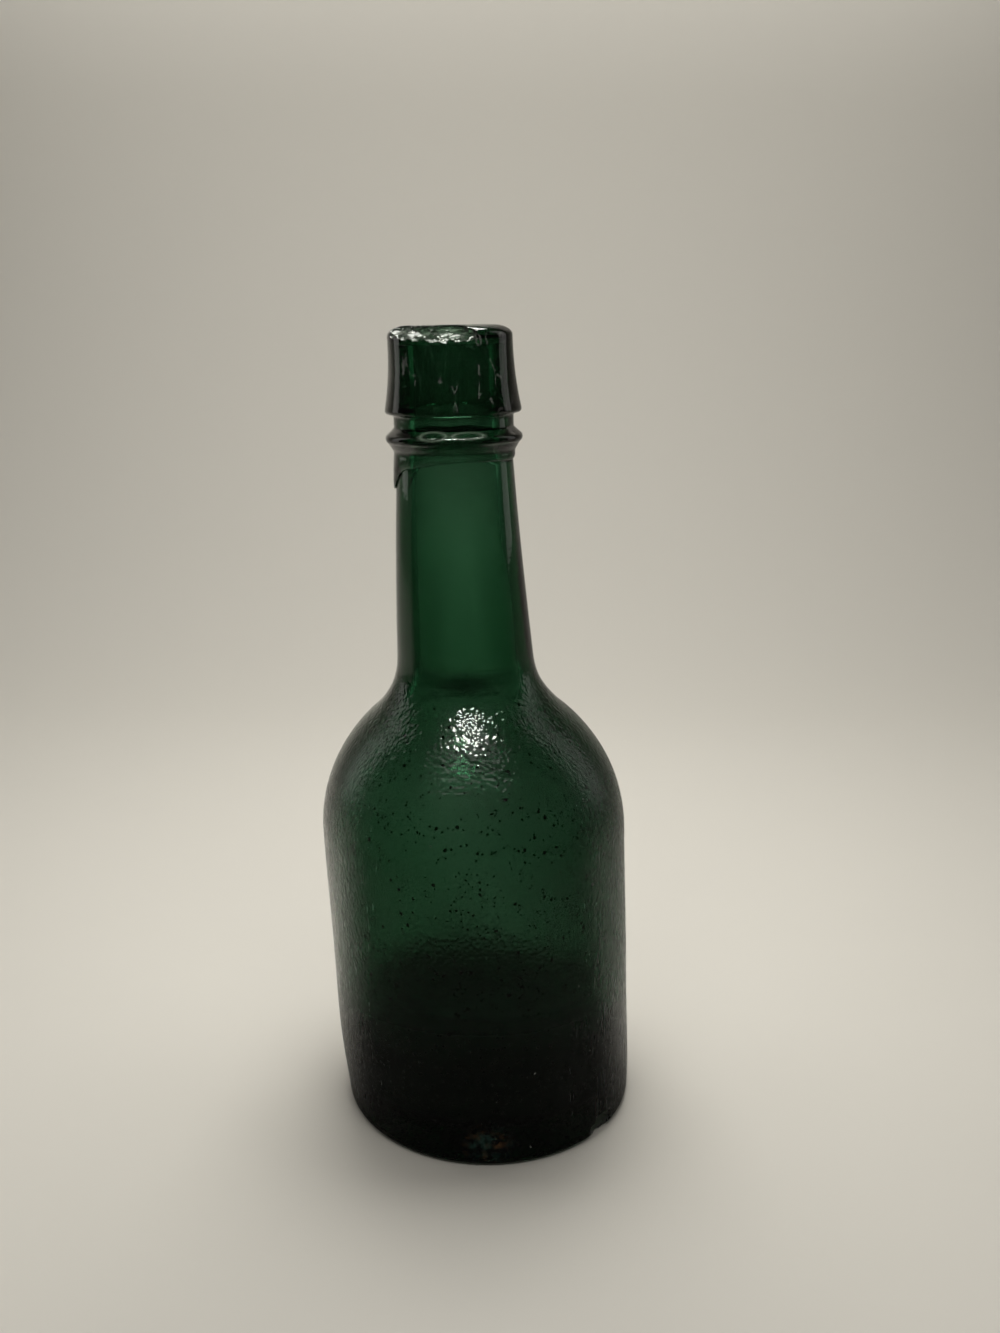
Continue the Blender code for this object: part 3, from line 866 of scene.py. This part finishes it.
class BOTTLE_OT_blown_body(bpy.types.Operator):
    """Make the blown body with its push-up, shoulder and neck"""

    bl_idname = "bottle.blown_body"
    bl_label = "Blown body"

    def execute(self, context):
        s = context.scene.bottle_sizes
        finish = context.scene.bottle_finish
        radius, z, angle, is_outer = section_grid(body_outline(s), finish.around)
        wave = self.waves(radius, z, angle, is_outer)
        full = self.fullness(z, angle) * is_outer
        points = placed(s, radius + wave + 0.6 * full, angle, z + 0.8 * full)

        # A chip in the heel, on the right
        bearing, reach, up = 321, 37.0 * MM, 2.4 * MM
        half = (2.2 * MM, 4.0 * MM, 2.8 * MM)
        points, broken = scooped(s, points, bearing, reach, up, half, (-1, 0, 0.3), 0.08)

        # Under the applied glass the neck's outside is a fused seam, down to the edge of the skirt
        skirt = skirt_edge(s) - drip(s, angle)
        neck = is_outer & (radius < 20 * MM) & (z > 100 * MM)
        seam = np.where(neck, np.clip((z - skirt) / (0.4 * MM), 0, 1), 0)

        # Inside only: dried dirt and painted shade
        deposit_and_shade = np.where(is_outer, 0, self.deposit_and_shade_inside(radius, z, angle))
        marks = {"seam": seam, "outside": is_outer, "broken": broken & is_outer, "deposit_and_shade": deposit_and_shade}
        piece = glass_mesh("blown_body_glass", points, False, marks)
        settle(piece, "blown_body", old_glass("blown_bottle_glass", finish))
        return {"FINISHED"}

    def waves(self, radius, z, angle, is_outer):
        """Slight waves of hand-blown glass, none on the foot, round the axis or high on the neck."""
        free = np.clip(radius / (20 * MM), 0, 1) * np.clip((160 * MM - z) / (20 * MM), 0, 1)
        outer_wave = ripple(angle, z, 3, 0.10 * MM, 7, 60) * np.clip(z / (6 * MM), 0, 1)
        inner_wave = ripple(angle, z, 8, 0.30 * MM, 9, 90)
        return np.where(is_outer, outer_wave, inner_wave) * free

    def fullness(self, z, angle):
        """A fuller shoulder at the front, with a dip above it: two bell curves up the side."""
        front = math.radians(285)
        facing = np.exp(1.6 * (np.cos(angle - front) - 1))
        bulge = 1.2 * MM * hump(z, 107.5 * MM, 5.5 * MM)
        dip = 0.7 * MM * hump(z, 115.5 * MM, 4 * MM)
        return (bulge - dip) * facing

    def deposit_and_shade_inside(self, radius, z, angle):
        """How much dark layer covers the inside: settled dirt in the bottom, partly painted shade; a band
        of painted shade at the front of the neck's foot; a thin film on the body; and a film up the neck,
        partly dirt and partly painted shadow under the applied glass. The bottom layer's level slopes,
        highest at the front, and it lies thickest over the push-up.
        """
        fade = 20 * MM
        level = 36 * MM - 8 * MM * np.sin(angle)
        tide = (level - z + ripple(angle, z, 5, 1.5 * MM, 7, 90)) / fade
        # Partly dirt, partly painted shade of the thick base
        silt_and_shade = np.clip(np.where(radius < 29 * MM, tide + 1, tide), 0, 1)
        # A dark band at the front of the neck's foot: painted shade in the crease
        painted_shade_band = 0.09 * hump(z, 117.5 * MM, 3 * MM) * hump(angle, math.radians(270), 1.2)
        body_film = (0.042 + 0.015 * np.cos(angle)) * np.clip((115 * MM - z) / fade, 0, 1)
        # Partly dirt, partly painted shadow under the applied glass
        neck_film_and_shade = 0.035 * np.clip((z - 150 * MM) / fade, 0, 1)
        return np.maximum(painted_shade_band + body_film + neck_film_and_shade, silt_and_shade * silt_and_shade * (3 - 2 * silt_and_shade))


class BOTTLE_OT_lip_collar(bpy.types.Operator):
    """Make the flared lip collar with its chipped, domed top"""

    bl_idname = "bottle.lip_collar"
    bl_label = "Lip collar"

    def execute(self, context):
        s = context.scene.bottle_sizes
        finish = context.scene.bottle_finish
        radius, z, angle, is_outer = section_grid(collar_outline(s), LIP_COLUMNS)
        wave = ripple(angle, z, 21, 0.08 * MM, 6, 200) * is_outer
        points, broken = chipped_lip(s, placed(s, radius + wave, angle, z))
        marks = {"seam": ~is_outer, "outside": is_outer, "broken": broken & is_outer, "deposit_and_shade": 0.0}
        piece = glass_mesh("lip_collar_glass", points, True, marks)
        settle(piece, "lip_collar", old_glass("collar_bottle_glass", finish, LIP_STRENGTH))
        return {"FINISHED"}


class BOTTLE_OT_string_ring(bpy.types.Operator):
    """Make the string ring with its lapped front, its skirt and its run of glass"""

    bl_idname = "bottle.string_ring"
    bl_label = "String ring"

    def execute(self, context):
        s = context.scene.bottle_sizes
        finish = context.scene.bottle_finish
        radius, z, angle, is_outer = section_grid(ring_outline(s), LIP_COLUMNS)
        foot = ring_top(s) - s.ring_height
        shift = np.clip((foot - z) / s.skirt_height, 0, 1) * drip(s, angle)
        proud = np.clip((radius - seat_radius(s, z)) / MM - 0.6, 0, 1)
        wave = ripple(angle, z, 33, 0.10 * MM, 6, 150) * is_outer * proud
        swell = 0.04 * shift * is_outer
        points = placed(s, radius + wave + s.neck_taper * shift + swell, angle, z - shift)

        # Two lap marks on the front, shallow scoops with pale rims, partly bruising and partly painted
        # glints on the lap edges: bearing, half width and half height
        nose = seat_radius(s, foot) + s.ring_wall
        reach = nose + 0.9 * MM
        lap_height = ring_top(s) - 1.2 * MM
        rim_bruise_and_glint = np.zeros(points.shape[:2])
        for bearing, around, up in ((254, 3.2 * MM, 0.9 * MM), (284, 3.8 * MM, 0.7 * MM)):
            half = (1.6 * MM, around, up)
            points, _ = scooped(s, points, bearing, reach, lap_height, half, (-1, 0, -0.2))
            across = (angle - math.radians(bearing)) * nose / around
            rim = hump(np.hypot(across, (z - lap_height) / up), 1, 0.2)
            rim_bruise_and_glint = np.maximum(rim_bruise_and_glint, 3 * rim)
        marks = {"seam": ~is_outer, "outside": is_outer, "broken": rim_bruise_and_glint * is_outer, "deposit_and_shade": 0.0}
        piece = glass_mesh("string_ring_glass", points, True, marks)
        settle(piece, "string_ring", old_glass("ring_bottle_glass", finish, LIP_STRENGTH))
        return {"FINISHED"}


class BOTTLE_OT_stage(bpy.types.Operator):
    """Make the paper sweep, the lamps and the camera"""

    bl_idname = "bottle.stage"
    bl_label = "Stage and camera"

    def execute(self, context):
        look = context.scene.stage_finish
        self.sweep(look)
        self.ring_lamp(look)
        self.panels(look)
        self.room(context, look)
        self.camera(context)
        context.scene.view_settings.view_transform = "Standard"
        return {"FINISHED"}

    def panels(self, look):
        """Soft panels round the bottle: place, point looked at, power, and width and height, in metres."""
        warm = (1, 0.98, 0.94)
        rows = (
            ("top_panel", (0, 0.08, 0.40), (0, 0.08, 0), look.top_power, (0.2, 0.2)),
            ("front_panel", (0, -0.30, 0.60), (0, 0.02, 0), look.front_power, (0.5, 0.2)),
            ("wall_panel", (0, 0.45, 0.55), (0, 0.62, 0.40), look.wall_power, (0.8, 0.05)),
            ("left_panel", (-0.52, 0.20, 0.35), (0, 0, 0.15), look.left_power, (0.22, 0.6)),
            ("right_panel", (0.52, 0.20, 0.35), (0, 0, 0.15), look.right_power, (0.22, 0.6)),
        )
        lamps = {row[0]: stage_light(*row, warm) for row in rows}
        lamps["front_panel"].visible_glossy = False

    def room(self, context, look):
        """Dim light all round, and a pale room where it is seen past the paper or through the glass."""
        world = bpy.data.worlds.new("soft_room")
        context.scene.world = world
        tree = bare_tree(world)
        mirrored, seen = ray_kinds(tree)
        bright = add_node(
            tree, "ShaderNodeMapRange", {"Value": seen, "To Min": 1.0, "To Max": look.room_glow}
        )[0]
        strength = add_node(
            tree, "ShaderNodeMath", {0: mirrored, 1: -0.7, 2: bright}, operation="MULTIPLY_ADD"
        )[0]
        light = add_node(tree, "ShaderNodeBackground", {"Color": (*look.room, 1), "Strength": strength})[0]
        add_node(tree, "ShaderNodeOutputWorld", {"Surface": light})

    def ring_lamp(self, look):
        """A flat, slightly squat ring that faces the bottle: points on two ovals round its middle."""
        count, inner, outer, squat = 64, 25 * MM, 60 * MM, 0.7
        middle = np.array((-0.005, -0.14, 0.50))
        aim = np.array((0, -0.02, 0.10)) - middle
        aim = aim / np.linalg.norm(aim)
        side = np.array((1.0, 0, 0))
        up = np.cross(aim, side)
        angle = bearings(count)[:, None]
        oval = np.cos(angle) * side + squat * np.sin(angle) * up
        points = np.stack((middle + inner * oval, middle + outer * oval))
        index = np.arange(2 * count).reshape(2, count)
        right = np.roll(index, -1, axis=1)
        quads = np.stack((index[0], right[0], right[1], index[1]), axis=-1)
        mesh = bpy.data.meshes.new("ring_lamp")
        mesh.from_pydata(points.reshape(-1, 3).tolist(), [], quads.tolist())
        mesh.materials.append(lamp_face("lamp_face", look.ring_glow))
        lamp = bpy.data.objects.new("ring_lamp", mesh)
        lamp.visible_camera = False
        lamp.visible_shadow = False
        lamp.visible_diffuse = False
        bpy.context.scene.collection.objects.link(lamp)
        return lamp

    def sweep(self, look):
        """Floor and back wall in one: flat, then a quarter circle, then upright, carried along X."""
        front, reach, bend, wall, half_width = -1.6, 0.30, 0.30, 1.2, 1.8
        line = np.concatenate((
            [(front, 0)],
            arc((reach, bend), bend, -math.pi / 2, 0),
            [(reach + bend, wall)],
        ))
        across = np.array((-half_width, half_width))
        points = np.stack((
            np.broadcast_to(across[None, :], (len(line), 2)),
            np.broadcast_to(line[:, :1], (len(line), 2)),
            np.broadcast_to(line[:, 1:], (len(line), 2)),
        ), axis=-1)
        index = np.arange(len(line) * 2).reshape(-1, 2)
        quads = np.stack((index[:-1, 0], index[:-1, 1], index[1:, 1], index[1:, 0]), axis=-1)
        mesh = bpy.data.meshes.new("paper_sweep")
        mesh.from_pydata(points.reshape(-1, 3).tolist(), [], quads.tolist())
        mesh.shade_smooth()
        mesh.materials.append(paper("pale_paper", look.paper, look.room, look.room_glow))
        sweep = bpy.data.objects.new("paper_sweep", mesh)
        bpy.context.scene.collection.objects.link(sweep)
        return sweep

    def camera(self, context):
        """A camera at the photograph's place, looking along +Y and down."""
        data = bpy.data.cameras.new("camera")
        data.sensor_width = SENSOR_MM
        data.lens = FOCAL_PX / PHOTO_HEIGHT_PX * SENSOR_MM
        data.clip_start = 0.01
        camera = bpy.data.objects.new("camera", data)
        camera.location = CAMERA_PLACE
        camera.rotation_euler = Euler((math.pi / 2 - CAMERA_DOWN, CAMERA_ROLL, 0))
        context.scene.collection.objects.link(camera)
        context.scene.camera = camera


class BOTTLE_PT_panel(bpy.types.Panel):
    """Lists the bottle's pieces in the sidebar"""

    bl_idname = "BOTTLE_PT_panel"
    bl_label = "Old green bottle"
    bl_space_type = "VIEW_3D"
    bl_region_type = "UI"
    bl_category = "Bottle"

    def draw(self, context):
        for operator in OPERATORS:
            self.layout.operator(operator.bl_idname)


OPERATORS = (BOTTLE_OT_blown_body, BOTTLE_OT_lip_collar, BOTTLE_OT_string_ring, BOTTLE_OT_stage)
CLASSES = (BottleSizes, BottleFinish, StageFinish, *OPERATORS, BOTTLE_PT_panel)


def register():
    for new_class in CLASSES:
        bpy.utils.register_class(new_class)
    bpy.types.Scene.bottle_sizes = PointerProperty(type=BottleSizes)
    bpy.types.Scene.bottle_finish = PointerProperty(type=BottleFinish)
    bpy.types.Scene.stage_finish = PointerProperty(type=StageFinish)


def unregister():
    del bpy.types.Scene.stage_finish
    del bpy.types.Scene.bottle_finish
    del bpy.types.Scene.bottle_sizes
    for old_class in reversed(CLASSES):
        bpy.utils.unregister_class(old_class)


def main():
    register()
    bpy.ops.bottle.blown_body()
    bpy.ops.bottle.lip_collar()
    bpy.ops.bottle.string_ring()
    bpy.ops.bottle.stage()


if __name__ == "__main__":
    main()
